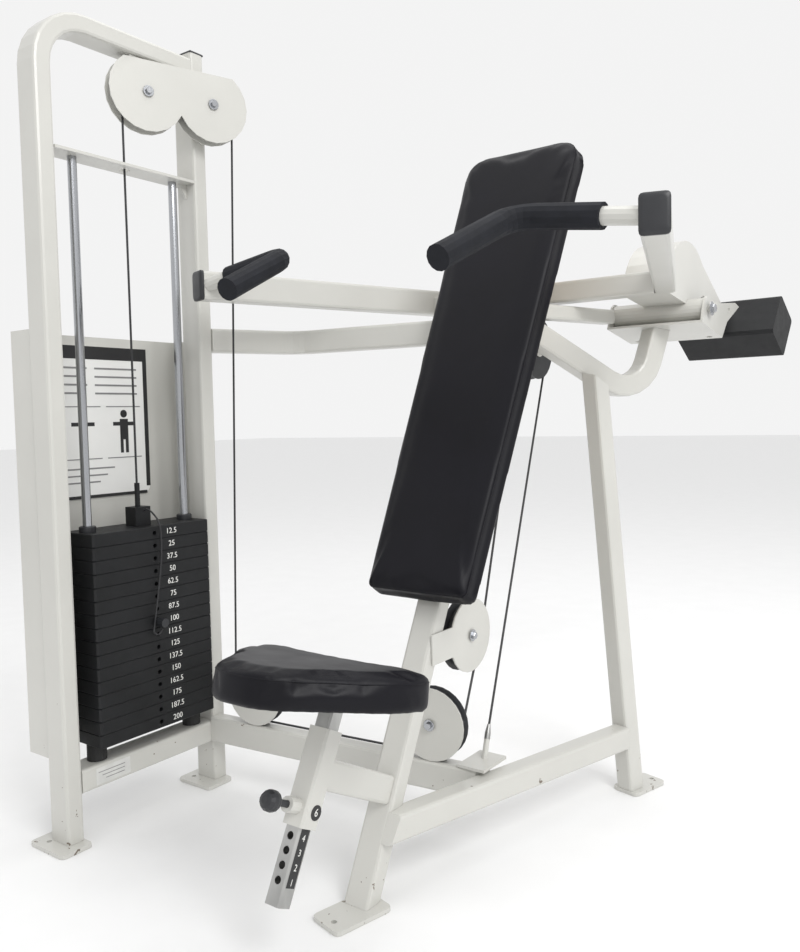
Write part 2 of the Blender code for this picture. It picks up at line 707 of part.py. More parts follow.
def top_pulley_housing():
    """Two lobed plates with a flange and two axles under the top beam."""
    lobe, flat = 0.085, 1.664
    rise = math.degrees(math.asin((flat - HOUSING_BOLT_Z) / lobe))
    middle = sum(HOUSING_BOLTS) / 2
    dip = math.degrees(math.acos((middle - HOUSING_BOLTS[0]) / lobe))
    outline = []
    for k in range(13):
        angle = math.radians(180 - rise + (180 + rise - dip) * k / 12)
        outline.append((HOUSING_BOLTS[0] + lobe * math.cos(angle), HOUSING_BOLT_Z + lobe * math.sin(angle)))
    for k in range(1, 13):
        angle = math.radians(180 + dip + (180 + rise - dip) * k / 12)
        outline.append((HOUSING_BOLTS[1] + lobe * math.cos(angle), HOUSING_BOLT_Z + lobe * math.sin(angle)))
    run, normal = toward(HOUSING_TURN), housing_normal()
    cover = prism("top_pulley_housing", outline, HOUSING_START, run, Z, normal * -0.003, "white_powder_coat")
    join(cover, prism("back", outline, HOUSING_START - normal * 0.0296, run, Z, normal * -0.003,
                      "white_powder_coat"))
    strip = [(0.010, flat - 0.004), (0.250, flat - 0.004), (0.250, flat), (0.010, flat)]
    join(cover, prism("flange", strip, HOUSING_START, run, Z, normal * -0.0326, "white_powder_coat"))
    for index in (0, 1):
        c = housing_centre(index)
        join(cover, cylinder("axle", c - normal * 0.018, c + normal * 0.019, 0.006, "white_powder_coat", 12))
    low, high = Vector((TOWER_X - 0.01, 0.235, flat - 0.003)), Vector((TOWER_X + 0.02, 0.275, 1.669 - GAP))
    return join(cover, box("spacer", low, high, "white_powder_coat"))


def arc_around(centre, first, second, turn, start, end, steps):
    """Cable points around a pulley; first and second span its plane, angles are in degrees."""
    half_step = math.radians((end - start) / steps / 2)
    radius = turn / math.cos(half_step)
    points = []
    for k in range(steps + 1):
        angle = math.radians(start + (end - start) * k / steps)
        points.append(centre + first * radius * math.cos(angle) + second * radius * math.sin(angle))
    return points


def main_cable_route():
    run = toward(HOUSING_TURN)
    low, high = base_pulley_centre(-0.494), base_pulley_centre(-0.034)
    along = base_direction()
    return (arc_around(housing_centre(0), run, Z, SMALL_TURN, 180, 90, 8)
            + arc_around(housing_centre(1), run, Z, SMALL_TURN, 90, 0, 8)
            + arc_around(low, along, Z, BIG_TURN, 180, 270, 8)
            + arc_around(high, along, Z, BIG_TURN, 270, 360, 8))


def cable(name, points):
    """Taut cable as a six sided tube."""
    rings = []
    side = X
    for i, point in enumerate(points):
        before = (point - points[i - 1]).normalized() if i else (points[1] - point).normalized()
        after = (points[i + 1] - point).normalized() if i < len(points) - 1 else before
        along = (before + after).normalized()
        side = (side - side.dot(along) * along).normalized()
        up = along.cross(side)
        rings.append([point + u * side + v * up for u, v in circle(CABLE_RADIUS, 6)])
    return loft(name, rings, "cable_black")


def lift_tangents():
    """Ends of the two cable runs that hold the lift pulley."""
    c = LIFT_PULLEY
    span = Vector((0, c.y - REAR_PULLEY.y, c.z - REAR_PULLEY.z))
    lean = math.atan2(span.y, span.z) - math.asin(2 * BIG_TURN / span.length)
    across = Vector((0, math.cos(lean), -math.sin(lean))) * BIG_TURN
    front = (REAR_PULLEY + across, c - across)
    anchor = cable_anchor_top()
    span = Vector((0, c.y - anchor.y, c.z - anchor.z))
    lean = math.atan2(span.y, span.z) + math.asin(BIG_TURN / span.length)
    across = Vector((0, math.cos(lean), -math.sin(lean))) * BIG_TURN
    return front, (anchor, c + across)


def cable_anchor_top():
    lean = (Vector((0.056, 0.536, 0.225)) - CABLE_ANCHOR).normalized()
    return CABLE_ANCHOR + lean * (0.055 + GAP)


# ---------------------------------------------------------------- press arm

def arm_direction(side):
    return Vector((-side * math.sin(ARM_SPLAY), math.cos(ARM_SPLAY), 0))


def press_arm(name, side):
    start = Vector((side * ARM_END.x, ARM_END.y, ARM_END.z))
    return sweep(name, [start, start + arm_direction(side) * 0.675], arm_direction(side).cross(Z),
                 rounded_rectangle(ARM_WIDE, ARM_TALL), "white_powder_coat", end_plane=(Y * 0.930, Y))


def arm_inner_plane(side):
    start = Vector((side * ARM_END.x, ARM_END.y, 0))
    normal = arm_direction(side).cross(Z) * side
    return start - normal * (ARM_WIDE / 2 + GAP), normal


def arm_cross_tube():
    return sweep("arm_cross_tube", [(-0.27, 0.905, 1.154), (0.27, 0.905, 1.154)], Y,
                 rounded_rectangle(0.050, 0.048), "white_powder_coat",
                 start_plane=arm_inner_plane(-1), end_plane=arm_inner_plane(1))


def arm_hub():
    hub = cylinder("arm_hub", PIVOT + X * (0.122 + GAP), PIVOT + X * (0.340 - GAP), HUB_RADIUS,
                   "white_powder_coat", 20)
    bore = cylinder("bore", PIVOT + X * 0.05, PIVOT + X * 0.45, AXLE_RADIUS + GAP, "white_powder_coat", 16)
    return cut(hub, bore)


def counterweight():
    turn = math.radians(-5.0)
    along = Vector((math.cos(turn), math.sin(turn), 0))
    level = Vector((-math.sin(turn), math.cos(turn), 0))
    lean = math.radians(35.0)
    u = level * math.cos(lean) - Z * math.sin(lean)
    centre = Vector((0.305, 1.435, 1.086))
    return sweep("counterweight", [centre - along * 0.125, centre + along * 0.125], u,
                 rounded_rectangle(0.105, 0.118, 0.008), "black_iron")


def arm_cam(hub, weight):
    """Round hump that ties the cross tube, the hub and the counterweight together."""
    radius = 0.160
    rear_face = 0.930 + GAP
    start = math.degrees(math.acos((rear_face - PIVOT.y) / radius))
    outline = [(rear_face, PIVOT.z + 0.028)]
    for k in range(11):
        angle = math.radians(start - (start - 48) * k / 10)
        outline.append((PIVOT.y + radius * math.cos(angle), PIVOT.z + radius * math.sin(angle)))
    tail = [(0.262, 0.042), (0.348, 0.032), (0.325, -0.020), (0.20, -0.018), (0.165, 0.026), (0.1165, 0.047),
            (0.018, 0.014), (-0.018, 0.014)]
    outline += [(PIVOT.y + a, PIVOT.z + b) for a, b in tail]
    outline.reverse()
    cam = prism("arm_cam", outline, X * 0.20, Y, Z, X * 0.10, "white_powder_coat")
    return clear_of(cam, hub, weight)


def handle_route(side):
    return [(side * (ARM_END.x - 0.0245), 0.2975, 1.1655), (side * 0.2544, 0.3035, 1.198),
            (side * 0.2297, 0.1216, 1.1117)]


def handle(name, side):
    corners = [Vector(p) for p in handle_route(side)]
    path = rounded_path(corners, 0.045, 4)
    start = arm_inner_plane(side)
    return sweep(name, path, Z, circle(0.015, 12), "white_powder_coat", start_plane=start)


def grip(name, side):
    corners = [Vector(p) for p in handle_route(side)]
    last = (corners[2] - corners[1]).normalized()
    bore = sweep("bore", rounded_path([corners[0], corners[1], corners[2] + last * GAP], 0.045, 4), Z,
                 circle(0.0158, 12), "foam_grip")
    corners[0] = corners[0] + (corners[1] - corners[0]).normalized() * 0.060
    corners[2] = corners[2] + last * 0.006
    return cut(sweep(name, rounded_path(corners, 0.045, 4), Z, circle(0.0215, 14), "foam_grip"), bore)


# ---------------------------------------------------------------- seat

def seat_axis():
    return Vector((0, math.sin(SEAT_TILT), math.cos(SEAT_TILT)))


def seat_front():
    """Unit vector out of the front face of the seat tube."""
    return Vector((0, -math.cos(SEAT_TILT), math.sin(SEAT_TILT)))


def pin_point():
    return SLEEVE_LOW + seat_axis() * 0.030


def seat_sleeve():
    """Square sleeve with the pull pin's collar and the link to the post."""
    sleeve = sweep("seat_sleeve", [SLEEVE_LOW, SLEEVE_LOW + seat_axis() * SLEEVE_LENGTH], X,
                   rounded_rectangle(0.044, 0.042, 0.004, 1), "white_powder_coat")
    collar = cylinder("collar", pin_point() + seat_front() * 0.018, pin_point() + seat_front() * 0.046, 0.013,
                      "white_powder_coat", 12)
    link_start = SLEEVE_LOW + seat_axis() * 0.088 - seat_front() * 0.018
    link = sweep("link", [link_start, link_start - seat_front() * 0.2], X, rounded_rectangle(0.038, 0.052),
                 "white_powder_coat", end_plane=post_plane(-GAP))
    join(sleeve, collar, link)
    bore = sweep("bore", [SLEEVE_LOW - seat_axis() * 0.05, SLEEVE_LOW + seat_axis() * 0.3], X,
                 rounded_rectangle(0.0325, 0.0325, 0.003, 1), "white_powder_coat")
    hole = cylinder("hole", pin_point(), pin_point() + seat_front() * 0.06, 0.0063, "white_powder_coat", 12)
    return cut(sleeve, bore, hole)


def seat_tube():
    top, normal = seat_underside(0.0055)
    tube = sweep("seat_tube", [SEAT_TUBE_LOW, SEAT_TUBE_LOW + seat_axis() * 0.4], X,
                 rounded_rectangle(0.0315, 0.0315, 0.003, 1), "bare_steel", end_plane=(top, normal))
    inside = sweep("inside", [SEAT_TUBE_LOW - seat_axis() * 0.02, SEAT_TUBE_LOW + seat_axis() * 0.30], X,
                   rounded_rectangle(0.0255, 0.0255, 0.002, 1), "bare_steel")
    cut(tube, inside)
    for step in range(6):
        start = pin_point() - seat_axis() * (step * SEAT_PITCH)
        drill = cylinder("drill", start, start + seat_front() * 0.03, 0.0065, "bare_steel", 12)
        cut(tube, drill)
    return tube


def seat_pull_pin():
    """Plunger with a round knob; its tip stops in the sleeve's wall."""
    base, out = pin_point(), seat_front()
    pin = cylinder("seat_pull_pin", base + out * 0.0165, base + out * 0.090, 0.0058, "black_plastic", 12)
    profile = [(0.070, 0.007), (0.073, 0.0125), (0.079, 0.0165), (0.086, 0.0175), (0.093, 0.0165), (0.099, 0.0125),
               (0.102, 0.006)]
    rings = [[base + out * a + X * u + seat_axis() * v for u, v in circle(r, 14)] for a, r in profile]
    return join(pin, loft("knob", rings, "black_plastic"))


def seat_underside(offset):
    """Plane under the seat cushion, moved down by the offset."""
    normal = Vector((0, math.sin(SEAT_NOSE_UP), math.cos(SEAT_NOSE_UP)))
    return SEAT_REAR - normal * offset, normal


def seat_plane_point(x, forward):
    level = Vector((0, -math.cos(SEAT_NOSE_UP), math.sin(SEAT_NOSE_UP)))
    base, _ = seat_underside(0)
    return base + X * x + level * forward


def seat_plate():
    _, normal = seat_underside(0)
    ring = [seat_plane_point(x, f) - normal * 0.0053 for x, f in
            ((-0.07, 0.0), (0.07, 0.0), (0.055, 0.14), (-0.055, 0.14))]
    return loft("seat_plate", [ring, [p + normal * 0.005 for p in ring]], "white_powder_coat")


def seat_outline():
    corners = [(-0.188, 0.0, 0.03), (-0.188, 0.075, 0.05), (-0.052, 0.262, 0.045), (0.052, 0.262, 0.045),
               (0.188, 0.075, 0.05), (0.188, 0.0, 0.03)]
    points = []
    count = len(corners)
    for index, (u, v, radius) in enumerate(corners):
        corner = Vector((u, v))
        to_before = (Vector(corners[index - 1][:2]) - corner).normalized()
        to_after = (Vector(corners[(index + 1) % count][:2]) - corner).normalized()
        for k in range(4):
            t = k / 3
            start, end = corner + to_before * radius, corner + to_after * radius
            points.append(tuple((1 - t) ** 2 * start + 2 * t * (1 - t) * corner + t * t * end))
    return points


def seat_pad():
    _, normal = seat_underside(0)
    ring = [seat_plane_point(x, f) for x, f in seat_outline()]
    return loft("seat_pad", [ring, [p + normal * 0.058 for p in ring]], "black_vinyl")


# ---------------------------------------------------------------- assembly

def put_origin(made, point):
    """Move an object's origin to a point without moving its shape."""
    made.data.transform(Matrix.Translation(-point))
    made.location = point


def group(name, machine, origin, pieces):
    """Empty on a joint's axis, with the body's pieces under it."""
    holder = bpy.data.objects.new(name, None)
    bpy.context.scene.collection.objects.link(holder)
    holder.parent = machine
    holder.location = origin
    for piece in pieces:
        put_origin(piece, origin)
        piece.parent = holder
        piece.location = Vector((0, 0, 0))
    return holder


def build_frame():
    post = back_post()
    board = back_pad_board()
    bent = bent_side_tube()
    pieces = [tower_arch(), rear_upright(), tower_crossbar(), rod_top_plate(),
              foot_plate("tower_front_foot", (TOWER_X - 0.001, 0.004), 0.118, 0.072, 0.0, (-0.024, -0.012)),
              foot_plate("tower_rear_foot", (TOWER_X - 0.001, 0.393), 0.110, 0.076, 0.0, (-0.029, -0.011)),
              guide_rod("guide_rod_front", ROD_Y[0]), guide_rod("guide_rod_rear", ROD_Y[1]),
              rod_bumper("rod_bumper_front", ROD_Y[0]), rod_bumper("rod_bumper_rear", ROD_Y[1]),
              base_crossbeam(), side_beam(post), rear_leg(), post_strut(bent), upper_crossbeam(board),
              foot_plate("post_foot", (0.004, 0.146), 0.075, 0.122, math.radians(13.8), (0.006, -0.044)),
              foot_plate("leg_foot", (0.2275, 0.9305), 0.066, 0.112, SPLAY, (0.004, 0.042)),
              pivot_bracket(), seat_sleeve(), cable_anchor(), stack_shroud(), placard(), back_pad(),
              top_pulley_housing(), beam_pulley_guard("base_pulley_guard", base_pulley_centre(-0.494)),
              beam_pulley_guard("post_pulley_guard", base_pulley_centre(-0.034)), rear_pulley_guard(post),
              plate_block("resting_plates", SELECTED_PLATE + 1, PLATE_COUNT),
              cable("main_cable", main_cable_route()),
              cable("stack_cable", [Vector((TOWER_X, STACK_Y, stack_cable_foot())),
                                    main_cable_route()[0] - Z * 0.002])]
    front, rear = lift_tangents()
    pieces += [cable("lift_cable_front", front), cable("lift_cable_rear", rear)]
    return pieces + [post, board, bent]


def build_arm():
    hub, weight = arm_hub(), counterweight()
    pieces = [hub, weight, arm_cam(hub, weight), arm_cross_tube(), lift_pulley_fork()]
    for side, word in ((1, "right"), (-1, "left")):
        pieces += [press_arm("press_arm_" + word, side), handle("handle_" + word, side),
                   grip("grip_" + word, side)]
    return pieces


def build():
    clear_scene()
    machine = bpy.data.objects.new("machine", None)
    bpy.context.scene.collection.objects.link(machine)
    machine.location = WORLD_SHIFT
    group("frame", machine, Vector((0, 0, 0)), build_frame())
    group("movement_arm", machine, PIVOT, build_arm())
    group("weight_carriage", machine, Vector((TOWER_X, STACK_Y, STACK_TOP)),
          [plate_block("lifted_plates", 1, SELECTED_PLATE), selector_stem()])
    pin_origin = Vector((TOWER_X + PLATE_WIDE / 2, STACK_Y, pin_height(SELECTED_PLATE)))
    group("selector_pin_body", machine, pin_origin, [selector_pin()])
    cord = lanyard()
    cord.parent = machine
    housing = housing_normal()
    across = -base_direction().cross(Z)
    wheels = (("top_front_pulley", housing_centre(0), housing, SMALL_TURN),
              ("top_rear_pulley", housing_centre(1), housing, SMALL_TURN),
              ("base_pulley", base_pulley_centre(-0.494), across, BIG_TURN),
              ("post_pulley", base_pulley_centre(-0.034), across, BIG_TURN),
              ("rear_pulley", REAR_PULLEY, X, BIG_TURN),
              ("lift_pulley", LIFT_PULLEY, X, BIG_TURN))
    for name, centre, axis, turn in wheels:
        group(name + "_axis", machine, centre, [pulley(name, centre, axis, turn)])
    group("seat_carriage", machine, SEAT_TUBE_LOW, [seat_tube(), seat_plate(), seat_pad()])
    group("seat_pin_body", machine, pin_point(), [seat_pull_pin()])


build()
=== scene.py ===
"""Shoulder press machine: finishes, cushions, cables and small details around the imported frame.

Lengths are in metres.
"""
import json
import math

import bmesh
import bpy
from mathutils import Matrix, Vector


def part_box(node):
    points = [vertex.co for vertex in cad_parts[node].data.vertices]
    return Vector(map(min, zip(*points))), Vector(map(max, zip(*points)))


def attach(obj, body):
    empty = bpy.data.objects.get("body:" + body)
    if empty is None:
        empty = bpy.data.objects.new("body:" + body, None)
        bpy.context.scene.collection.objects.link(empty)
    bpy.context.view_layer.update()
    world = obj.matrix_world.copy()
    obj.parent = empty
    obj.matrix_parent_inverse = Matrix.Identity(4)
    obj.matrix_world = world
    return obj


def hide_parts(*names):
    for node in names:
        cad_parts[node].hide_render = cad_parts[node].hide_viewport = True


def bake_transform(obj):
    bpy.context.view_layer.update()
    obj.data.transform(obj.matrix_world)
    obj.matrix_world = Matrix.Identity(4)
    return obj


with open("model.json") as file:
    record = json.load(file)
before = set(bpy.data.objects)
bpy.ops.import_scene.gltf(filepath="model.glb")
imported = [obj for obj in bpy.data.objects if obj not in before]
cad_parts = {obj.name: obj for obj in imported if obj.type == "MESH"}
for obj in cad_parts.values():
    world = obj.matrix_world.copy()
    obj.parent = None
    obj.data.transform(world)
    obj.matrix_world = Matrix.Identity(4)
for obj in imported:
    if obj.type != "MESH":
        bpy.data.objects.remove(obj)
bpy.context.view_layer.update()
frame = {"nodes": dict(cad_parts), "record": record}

X, Y, Z = Vector((1, 0, 0)), Vector((0, 1, 0)), Vector((0, 0, 1))
SHIFT = Vector((0.1185, -0.7008, 0.0))

TOWER_X = -0.656
STACK_Y = 0.2255
STACK_TOP = 0.6434
PLATE_PITCH = 0.0282
PLATE_COUNT = 16
SELECTED_PLATE = 8
STACK_FACE = TOWER_X + 0.055
ROD_Y = (0.096, 0.355)
VALUE_PER_PLATE = 12.5
TILT = math.radians(26.5)
PAD_LENGTH = 1.058
PAD_THICK = 0.050
SEAT_THICK = 0.058
SIDE_INSET = -0.0015
SEAT_NOSE_UP = math.radians(10.6)
SEAT_TILT = math.radians(27.6)
SEAT_PITCH = 0.0225
SLEEVE_LOW = Vector((0, 0.02145, 0.2087))
PIN_ABOVE_SLEEVE_LOW = 0.030
SEAT_TUBE_HALF = 0.01575
SEAT_MARK = Vector((0.022, 0.039, 0.230))
PIVOT = Vector((0, 1.073, 1.1065))
PIVOT_AXLE_END_X = 0.3532
ARM_END = Vector((0.4996, 0.2898, 1.163))
ARM_SPLAY = math.radians(17.8)
ARM_WIDE = 0.045
ARM_TALL = 0.0613
BIG_TURN = 0.066
CABLE_RADIUS = 0.0025
REAR_PULLEY = Vector((0.016, 0.515, 0.422))
LIFT_PULLEY = Vector((-0.012, 0.895, 1.030))
BASE_SLOPE = math.radians(6.0)
BASE_START = Vector((-0.6237, 0.4055, 0.1345))
BASE_PULLEY_Z = 0.241
BASE_PULLEY_X = -0.494
POST_PULLEY_X = -0.034
CABLE_STUD = Vector((0.060, 0.510, 0.166))
CABLE_STUD_AIM = Vector((0.056, 0.536, 0.225))
CABLE_STUD_LENGTH = 0.0553
HOUSING_TURN = math.radians(18.0)
HOUSING_START = Vector((-0.6405, 0.2198, 0.0))
HOUSING_BOLTS = (0.0538, 0.2062)
HOUSING_BOLT_Z = 1.5965


# ---------------------------------------------------------------- camera

def add_camera():
    yaw, pitch, roll = math.radians(36.11), math.radians(3.30), math.radians(-1.25)
    level = Vector((-math.sin(yaw), math.cos(yaw), 0))
    right = Vector((math.cos(yaw), math.sin(yaw), 0))
    ahead = level * math.cos(pitch) - Z * math.sin(pitch)
    up = Z * math.cos(pitch) + level * math.sin(pitch)
    right_rolled = right * math.cos(roll) + up * math.sin(roll)
    up_rolled = up * math.cos(roll) - right * math.sin(roll)
    data = bpy.data.cameras.new("camera")
    camera = bpy.data.objects.new("camera", data)
    bpy.context.scene.collection.objects.link(camera)
    turn = Matrix((right_rolled, up_rolled, -ahead)).transposed().to_4x4()
    camera.matrix_world = Matrix.Translation(Vector((0.9561, -0.9898, 0.87)) + SHIFT) @ turn
    data.lens = 32.85
    data.sensor_width = 36.0
    data.shift_x = 0.0005
    data.shift_y = -0.0084
    data.clip_end = 60
    bpy.context.scene.camera = camera


# ---------------------------------------------------------------- materials

def surface(name, colour, roughness, metallic=0.0, mottle=0.06, mottle_scale=9.0, grain=(), coat=0.0,
            uneven=0.06, stretch=(1, 1, 1), specular=0.5, wear=None):
    """Procedural finish: cloudy colour, uneven gloss and bumps.

    grain is a list of (kind, scale, strength, distance) bumps, and wear is (colour, scale, limit, height) for chips
    that thin out up to that height above the floor.
    """
    made = bpy.data.materials.new(name)
    made.use_nodes = True
    nodes, links = made.node_tree.nodes, made.node_tree.links
    shader = nodes["Principled BSDF"]
    shader.inputs["Metallic"].default_value = metallic
    shader.inputs["Coat Weight"].default_value = coat
    shader.inputs["Coat Roughness"].default_value = 0.12
    shader.inputs["Specular IOR Level"].default_value = specular
    where = nodes.new("ShaderNodeTexCoord")
    mapping = nodes.new("ShaderNodeMapping")
    mapping.inputs["Scale"].default_value = stretch
    links.new(where.outputs["Object"], mapping.inputs["Vector"])
    spot = mapping.outputs["Vector"]

    cloud = nodes.new("ShaderNodeTexNoise")
    cloud.inputs["Scale"].default_value = mottle_scale
    cloud.inputs["Detail"].default_value = 6
    links.new(spot, cloud.inputs["Vector"])
    ramp = nodes.new("ShaderNodeValToRGB")
    ramp.color_ramp.elements[0].position = 0.3
    ramp.color_ramp.elements[1].position = 0.7
    ramp.color_ramp.elements[0].color = (*[c * (1 - mottle) for c in colour], 1)
    ramp.color_ramp.elements[1].color = (*[min(1, c * (1 + mottle)) for c in colour], 1)
    links.new(cloud.outputs["Fac"], ramp.inputs["Fac"])
    tint = ramp.outputs["Color"]
    if wear:
        worn_colour, scale, limit, reach = wear
        chips = nodes.new("ShaderNodeTexNoise")
        chips.inputs["Scale"].default_value = scale
        chips.inputs["Detail"].default_value = 3
        links.new(spot, chips.inputs["Vector"])
        parts = nodes.new("ShaderNodeSeparateXYZ")
        links.new(where.outputs["Object"], parts.inputs["Vector"])
        fall = nodes.new("ShaderNodeMapRange")
        fall.inputs["From Max"].default_value = reach
        fall.inputs["To Min"].default_value = limit
        fall.inputs["To Max"].default_value = limit + 0.12
        links.new(parts.outputs["Z"], fall.inputs["Value"])
        over = nodes.new("ShaderNodeMath")
        over.operation = "GREATER_THAN"
        links.new(chips.outputs["Fac"], over.inputs[0])
        links.new(fall.outputs["Result"], over.inputs[1])
        mix = nodes.new("ShaderNodeMix")
        mix.data_type = "RGBA"
        mix.inputs["B"].default_value = (*worn_colour, 1)
        links.new(over.outputs["Value"], mix.inputs["Factor"])
        links.new(tint, mix.inputs["A"])
        tint = mix.outputs["Result"]
    links.new(tint, shader.inputs["Base Color"])

    rub = nodes.new("ShaderNodeTexNoise")
    rub.inputs["Scale"].default_value = mottle_scale * 2.7
    rub.inputs["Detail"].default_value = 5
    links.new(spot, rub.inputs["Vector"])
    spread = nodes.new("ShaderNodeMapRange")
    spread.inputs["To Min"].default_value = max(0.02, roughness - uneven)
    spread.inputs["To Max"].default_value = min(1.0, roughness + uneven)
    links.new(rub.outputs["Fac"], spread.inputs["Value"])
    links.new(spread.outputs["Result"], shader.inputs["Roughness"])

    last = None
    for kind, scale, strength, distance in grain:
        if kind == "cells":
            texture = nodes.new("ShaderNodeTexVoronoi")
            height = texture.outputs["Distance"]
        else:
            texture = nodes.new("ShaderNodeTexNoise")
            texture.inputs["Detail"].default_value = 4
            height = texture.outputs["Fac"]
        texture.inputs["Scale"].default_value = scale
        links.new(spot, texture.inputs["Vector"])
        bump = nodes.new("ShaderNodeBump")
        bump.inputs["Strength"].default_value = strength
        bump.inputs["Distance"].default_value = distance
        links.new(height, bump.inputs["Height"])
        if last:
            links.new(last.outputs["Normal"], bump.inputs["Normal"])
        last = bump
    if last:
        links.new(last.outputs["Normal"], shader.inputs["Normal"])
    return made


MATERIALS = {
    "white_powder_coat": surface("white_powder_coat_finish", (0.56, 0.555, 0.52), 0.33, mottle=0.035, mottle_scale=5,
                                 grain=[("noise", 420, 0.10, 0.0006), ("noise", 60, 0.05, 0.001)], coat=0.25,
                                 wear=((0.16, 0.13, 0.10), 55, 0.68, 0.30)),
    "black_iron": surface("black_iron_finish", (0.0065, 0.007, 0.008), 0.55, mottle=0.30, mottle_scale=16,
                          grain=[("noise", 380, 0.22, 0.0008)], uneven=0.10,
                          specular=0.35),
    "black_vinyl": surface("black_vinyl_finish", (0.0030, 0.0028, 0.0055), 0.44, mottle=0.22, mottle_scale=7,
                           grain=[("cells", 620, 0.14, 0.0005), ("noise", 22, 0.10, 0.003)], uneven=0.08,
                           specular=0.22),
    "plywood": surface("plywood_finish", (0.40, 0.28, 0.16), 0.65, mottle=0.25, mottle_scale=6,
                       grain=[("noise", 90, 0.2, 0.001)], stretch=(1, 6, 1)),
    "chrome": surface("chrome_finish", (0.42, 0.43, 0.45), 0.22, metallic=1.0, mottle=0.08, mottle_scale=12,
                      grain=[("noise", 260, 0.05, 0.0004)], uneven=0.07, stretch=(1, 1, 0.12)),
    "bare_steel": surface("bare_steel_finish", (0.42, 0.42, 0.41), 0.38, metallic=1.0, mottle=0.22, mottle_scale=22,
                          grain=[("noise", 500, 0.12, 0.0005)], uneven=0.12, stretch=(1, 1, 0.2)),
    "black_rubber": surface("black_rubber_finish", (0.02, 0.02, 0.02), 0.75, mottle=0.2,
                            grain=[("noise", 500, 0.2, 0.0005)]),
    "foam_grip": surface("foam_grip_finish", (0.010, 0.011, 0.015), 0.75, mottle=0.22, mottle_scale=30,
                         grain=[("cells", 900, 0.30, 0.0007), ("noise", 70, 0.15, 0.002)], specular=0.3),
    "black_plastic": surface("black_plastic_finish", (0.020, 0.021, 0.024), 0.42, mottle=0.18, mottle_scale=20,
                             grain=[("noise", 600, 0.10, 0.0004)], uneven=0.08),
    "sign_white": surface("sign_white_finish", (0.78, 0.78, 0.76), 0.35, mottle=0.03,
                          grain=[("noise", 300, 0.03, 0.0003)]),
    "cable_black": surface("cable_black_finish", (0.018, 0.018, 0.020), 0.45, mottle=0.2, mottle_scale=60,
                           grain=[("noise", 900, 0.15, 0.0004)]),
}
INK = surface("black_ink_finish", (0.015, 0.015, 0.016), 0.5, mottle=0.15)
GREY_INK = surface("grey_ink_finish", (0.22, 0.22, 0.22), 0.5, mottle=0.10)
NUMERAL = surface("numeral_finish", (0.75, 0.75, 0.72), 0.45, mottle=0.08, mottle_scale=60)
LABEL = surface("label_finish", (0.62, 0.62, 0.60), 0.45, mottle=0.08, mottle_scale=40)


def dress_frame():
    """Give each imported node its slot's finish, except the selector pin, which is black plastic."""
    slots = {entry["node"]: entry["material_slot"] for entry in frame["record"]["subparts"]}
    for name, node in frame["nodes"].items():
        for held in node.material_slots:
            held.material = MATERIALS["black_plastic" if name == "selector_pin" else slots[name]]


# ---------------------------------------------------------------- building helpers

def finish_mesh(name, bm, material, body, sharp=30):
    """Turn the mesh into a piece that rides on the body, if one is given."""
    bmesh.ops.recalc_face_normals(bm, faces=bm.faces)
    mesh = bpy.data.meshes.new(name)
    bm.to_mesh(mesh)
    bm.free()
    mesh.materials.append(material)
    mesh.shade_smooth()
    mesh.set_sharp_from_angle(angle=math.radians(sharp))
    made = bpy.data.objects.new(name, mesh)
    bpy.context.scene.collection.objects.link(made)
    if body:
        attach(made, body)
    return made


def add_rings(bm, rings):
    """Closed skin through equal rings of points."""
    rows = [[bm.verts.new(point + SHIFT) for point in ring] for ring in rings]
    count = len(rings[0])
    for low, high in zip(rows, rows[1:]):
        for i in range(count):
            j = (i + 1) % count
            bm.faces.new((low[i], low[j], high[j], high[i]))
    bm.faces.new(list(reversed(rows[0])))
    bm.faces.new(rows[-1])


def frame_of(axis):
    """The axis as a unit vector, and two directions square to it."""
    axis = axis.normalized()
    side = Z if abs(axis.z) < 0.9 else X
    side = (side - side.dot(axis) * axis).normalized()
    return axis, side, axis.cross(side)


def add_turned(bm, centre, axis, profile, sides=24, turn=0.0):
    """Solid of revolution through (along, radius) pairs."""
    axis, side, up = frame_of(axis)
    rings = []
    for along, radius in profile:
        rings.append([centre + axis * along + (side * math.cos(math.tau * k / sides + turn)
                                               + up * math.sin(math.tau * k / sides + turn)) * radius
                      for k in range(sides)])
    add_rings(bm, rings)


def add_block(bm, centre, u, v, n, size, bevel=0.0):
    """Box with chamfered upper edges, centred on its lower face."""
    wide, deep, tall = size
    rings = []
    for shrink, along in ((0, 0), (0, tall - bevel), (bevel, tall)) if bevel else ((0, 0), (0, tall)):
        a, b = wide / 2 - shrink, deep / 2 - shrink
        rings.append([centre + u * s * a + v * t * b + n * along for s, t in ((1, 1), (-1, 1), (-1, -1), (1, -1))])
    add_rings(bm, rings)


def add_bolt(bm, centre, axis, across=0.0075, tall=0.006, washer=0.012):
    """Hex head with its chamfer, on a washer."""
    add_turned(bm, centre, axis, [(0, washer), (0.0012, washer), (0.0016, washer - 0.0006)], 24)
    add_turned(bm, centre + axis * 0.0016, axis, [(0, across), (tall * 0.8, across), (tall, across * 0.86)], 6, 0.3)


def tube(name, points, radius, material, body, sides=10):
    """Round tube along the points."""
    rings = []
    side = None
    for i, point in enumerate(points):
        before = (point - points[i - 1]).normalized() if i else (points[1] - point).normalized()
        after = (points[i + 1] - point).normalized() if i < len(points) - 1 else before
        along = (before + after).normalized()
        if side is None:
            side = X if abs(along.x) < 0.9 else Y
        side = (side - side.dot(along) * along).normalized()
        up = along.cross(side)
        rings.append([point + (side * math.cos(math.tau * k / sides) + up * math.sin(math.tau * k / sides)) * radius
                      for k in range(sides)])
    bm = bmesh.new()
    add_rings(bm, rings)
    return finish_mesh(name, bm, material, body)


